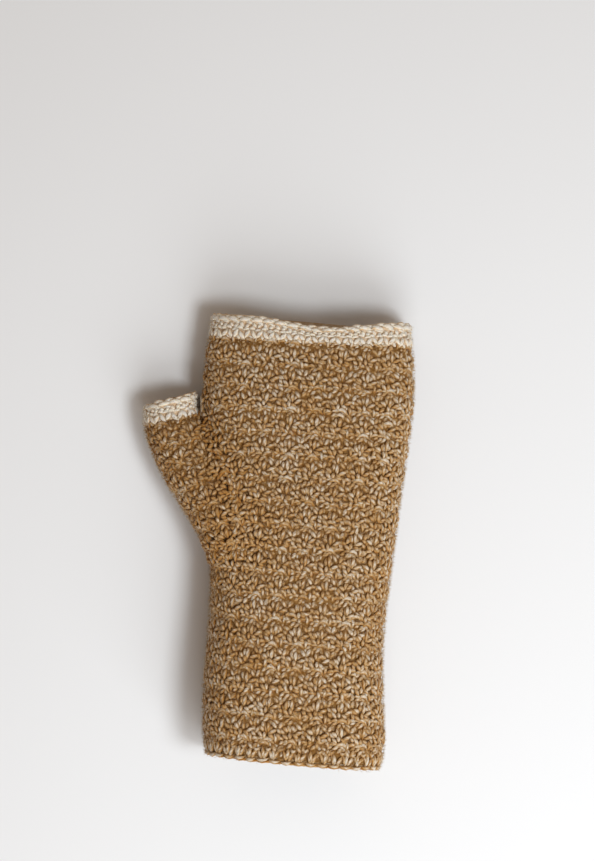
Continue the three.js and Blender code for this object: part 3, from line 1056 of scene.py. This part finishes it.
class HandWarmerSettings(PropertyGroup):
    # The deep end of each yarn's colours shows as painted shade where strands dive under, on low strands and
    # on the fabric behind them; the light end shows as a painted highlight along strand tops
    brown_deep: colour("Brown, deep", "Brown yarn where it dives under", (0.305, 0.127, 0.020))
    brown_dark: colour("Brown, dark", "Darkest fibres of the brown yarn", (0.390, 0.208, 0.063))
    brown_middle: colour("Brown, middle", "Most of the brown yarn", (0.465, 0.301, 0.146))
    brown_light: colour("Brown, light", "Palest fibres of the brown yarn", (0.600, 0.514, 0.402))
    cream_deep: colour("Cream, deep", "Cream yarn where it dives under", (0.62, 0.420, 0.235))
    cream_dark: colour("Cream, dark", "Darkest fibres of the cream yarn", (0.745, 0.625, 0.470))
    cream_middle: colour("Cream, middle", "Most of the cream yarn", (0.740, 0.665, 0.545))
    cream_light: colour("Cream, light", "Palest fibres of the cream yarn", (0.685, 0.640, 0.570))
    turn_spread: FloatProperty(
        name="Turn spread", description="How far strands turn out of line", default=0.14, subtype="ANGLE",
        min=0, max=1,
    )
    size_spread: FloatProperty(
        name="Size spread", description="How much strands differ in size, as a part", default=0.10,
        min=0, max=0.5,
    )
    seed: IntProperty(
        name="Seed", description="Another number lays the strands a little differently", default=5,
    )
    key_power: FloatProperty(
        name="Key light", description="Power of the soft light on the right, in watts", default=5.2, min=0,
    )
    fill_power: FloatProperty(
        name="Fill light", description="Power of the broad light at the wrist, in watts", default=5.4, min=0,
    )
    sky: FloatProperty(
        name="Room light", description="Strength of the light from all round", default=0.31, min=0,
    )


def settings():
    """What the user has set."""
    return bpy.context.scene.hand_warmer


class HANDWARMER_OT_sleeve(Operator):
    """Crochet the brown sleeve: its ground, and the strands outside and inside"""

    bl_idname = "hand_warmer.sleeve"
    bl_label = "Sleeve"

    def execute(self, context):
        chance = np.random.default_rng(settings().seed)
        backing("sleeve", "brown_yarn")
        stitches = strand_kit("stitch", STITCH_STRANDS, REPEAT_WIDTH, ROUND_PAIR)
        for band, start, end in SLEEVE_BANDS:
            laid = hand_strands(stitches, chance, start, end)
            crocheted(f"sleeve_{band}", laid, stitches.collection, "brown_yarn")
        laid = thumb_strands(stitches, chance)
        for join in JOINS:
            laid += joining_strands(stitches, chance, join)
        crocheted("sleeve_gusset", laid, stitches.collection, "brown_yarn")

        fans = strand_kit("fan", FAN_STRANDS, CHAIN_STITCH, -1.0)
        count = round(HAND_TUBE.perimeter(WRIST_END) / CHAIN_STITCH)
        laid = edge_strands(HAND_TUBE, WRIST_END, fans, chance, count, towards=1.0, spread=FAN_SPREAD)
        crocheted("sleeve_first_round", laid, fans.collection, "brown_yarn")

        strands = chosen(STITCH_STRANDS, INNER_STRANDS)
        inner = strand_kit("inner_stitch", strands, REPEAT_WIDTH, ROUND_PAIR, INNER_SIDES)
        laid = hand_strands(inner, chance, *INNER_PAIRS, inwards=WALL)
        laid += thumb_strands(inner, chance, inwards=WALL)
        crocheted("sleeve_inside", laid, inner.collection, "brown_yarn")
        return {"FINISHED"}


class HANDWARMER_OT_edgings(Operator):
    """Crochet the cream edgings on the finger and thumb ends"""

    bl_idname = "hand_warmer.edgings"
    bl_label = "Edgings"

    def execute(self, context):
        chance = np.random.default_rng(settings().seed + 1)
        outer = strand_kit("edging", EDGING_STRANDS, EDGING_STITCH, 1.0)
        strands = chosen(EDGING_STRANDS, INNER_EDGING)
        inner = strand_kit("inner_edging", strands, EDGING_STITCH, 1.0, INNER_SIDES)
        rim = strand_kit("rim", RIM_STRANDS, EDGING_STITCH, 1.0)
        for node, tube, lip, depth, sags in (
            ("finger_edging", HAND_TUBE, FINGER_LIP, 1.0, True),
            ("thumb_edging", THUMB_TUBE, THUMB_LIP, 0.95, False),
        ):
            backing(node, "cream_yarn", sags)
            count = round(tube.perimeter(lip) / EDGING_STITCH)
            laid = edge_strands(tube, lip, outer, chance, count, depth, sags=sags)
            crocheted(node + "_yarn", laid, outer.collection, "cream_yarn")
            laid = edge_strands(tube, lip, inner, chance, count, depth, inwards=WALL, sags=sags)
            crocheted(node + "_inside", laid, inner.collection, "cream_yarn")
            laid = rim_strands(tube, lip - RIM_BACK, rim, chance, count, 1, sags)
            crocheted(node + "_rim", laid, rim.collection, "cream_yarn")
        return {"FINISHED"}


class HANDWARMER_OT_fuzz(Operator):
    """Let short loose fibres stand off the yarn"""

    bl_idname = "hand_warmer.fuzz"
    bl_label = "Fuzz"

    def execute(self, context):
        chance = np.random.default_rng(settings().seed + 3)
        kit = fibre_kit("fibre", chance)
        laid = fibres_over(HAND_TUBE, THUMB_TUBE, CHAIN_LIP, FINGER_END, HAND_FIBRES, chance)
        laid += fibres_over(THUMB_TUBE, HAND_TUBE, GUSSET_FIBRES_START, THUMB_END, GUSSET_FIBRES, chance)
        crocheted("fuzz_brown", laid, kit, "brown_yarn")
        laid = fibres_over(HAND_TUBE, None, FINGER_END, FINGER_LIP, FINGER_EDGING_FIBRES, chance, sags=True)
        laid += fibres_over(THUMB_TUBE, None, THUMB_END, THUMB_LIP, THUMB_EDGING_FIBRES, chance)
        crocheted("fuzz_cream", laid, kit, "cream_yarn")
        return {"FINISHED"}


class HANDWARMER_OT_wrist_chain(Operator):
    """Crochet the foundation chain along the wrist edge"""

    bl_idname = "hand_warmer.wrist_chain"
    bl_label = "Wrist Chain"

    def execute(self, context):
        chance = np.random.default_rng(settings().seed + 2)
        backing("wrist_chain", "brown_yarn")
        chain = strand_kit("chain", CHAIN_STRANDS, CHAIN_STITCH, -1.0)
        count = round(HAND_TUBE.perimeter(WRIST_END) / CHAIN_STITCH)
        laid = edge_strands(HAND_TUBE, CHAIN_LIP, chain, chance, count, towards=1.0)
        crocheted("wrist_chain_yarn", laid, chain.collection, "brown_yarn")
        rim = strand_kit("wrist_rim", RIM_STRANDS, CHAIN_STITCH, 1.0)
        laid = rim_strands(HAND_TUBE, CHAIN_LIP + CHAIN_RIM_BACK, rim, chance, count, -1)
        crocheted("wrist_rim_yarn", laid, rim.collection, "brown_yarn")
        return {"FINISHED"}


def soft_light(lamp, power):
    """A square lamp that faces the middle of the hand warmer."""
    light = bpy.data.lights.new(lamp.name, "AREA")
    light.size = lamp.width
    light.energy = power
    light.color = LAMP_COLOUR
    thing = new_object(lamp.name, light)
    thing.location = lamp.place
    thing.rotation_euler = (-Vector(lamp.place)).to_track_quat("-Z", "Y").to_euler()
    return thing


class HANDWARMER_OT_stage(Operator):
    """Set the pale table, the light and the camera of the picture"""

    bl_idname = "hand_warmer.stage"
    bl_label = "Stage"

    def execute(self, context):
        given = settings()
        scene = context.scene
        bpy.ops.mesh.primitive_plane_add(size=TABLE_SIZE)
        table = context.active_object
        table.name = "table"
        paper, tree, shader = new_material("Pale table")
        set_inputs(tree, shader, {"Base Color": TABLE_COLOUR, "Roughness": 0.9})
        table.data.materials.append(paper)

        key = soft_light(KEY, given.key_power)
        fill = soft_light(FILL, given.fill_power)

        world = bpy.data.worlds.new("Room")
        scene.world = world
        world.use_nodes = True
        room = {"Color": ROOM_COLOUR, "Strength": given.sky}
        set_inputs(world.node_tree, world.node_tree.nodes["Background"], room)
        scene.view_settings.view_transform = "Standard"

        lens = bpy.data.cameras.new("camera")
        lens.sensor_fit = "AUTO"
        lens.sensor_width = 36.0
        lens.lens = CAMERA_LENS
        lens.clip_end = 20.0
        lens.dof.use_dof = False
        camera = new_object("camera", lens)
        camera.location = CAMERA_PLACE
        camera.rotation_euler = (0, 0, math.radians(CAMERA_ROLL))
        scene.camera = camera
        return {"FINISHED"}


class HANDWARMER_PT_panel(Panel):
    """The hand warmer's settings and steps"""

    bl_label = "Hand Warmer"
    bl_space_type = "VIEW_3D"
    bl_region_type = "UI"
    bl_category = "Hand Warmer"

    def draw(self, context):
        for name in HandWarmerSettings.__annotations__:
            self.layout.prop(settings(), name)
        for operator in OPERATORS:
            self.layout.operator(operator.bl_idname)


OPERATORS = (
    HANDWARMER_OT_sleeve,
    HANDWARMER_OT_edgings,
    HANDWARMER_OT_wrist_chain,
    HANDWARMER_OT_fuzz,
    HANDWARMER_OT_stage,
)


def register():
    for kind in (HandWarmerSettings, *OPERATORS, HANDWARMER_PT_panel):
        bpy.utils.register_class(kind)
    bpy.types.Scene.hand_warmer = PointerProperty(type=HandWarmerSettings)


def unregister():
    del bpy.types.Scene.hand_warmer
    for kind in (HANDWARMER_PT_panel, *reversed(OPERATORS), HandWarmerSettings):
        bpy.utils.unregister_class(kind)


def main():
    register()
    bpy.ops.hand_warmer.sleeve()
    bpy.ops.hand_warmer.edgings()
    bpy.ops.hand_warmer.wrist_chain()
    bpy.ops.hand_warmer.fuzz()
    bpy.ops.hand_warmer.stage()


if __name__ == "__main__":
    main()
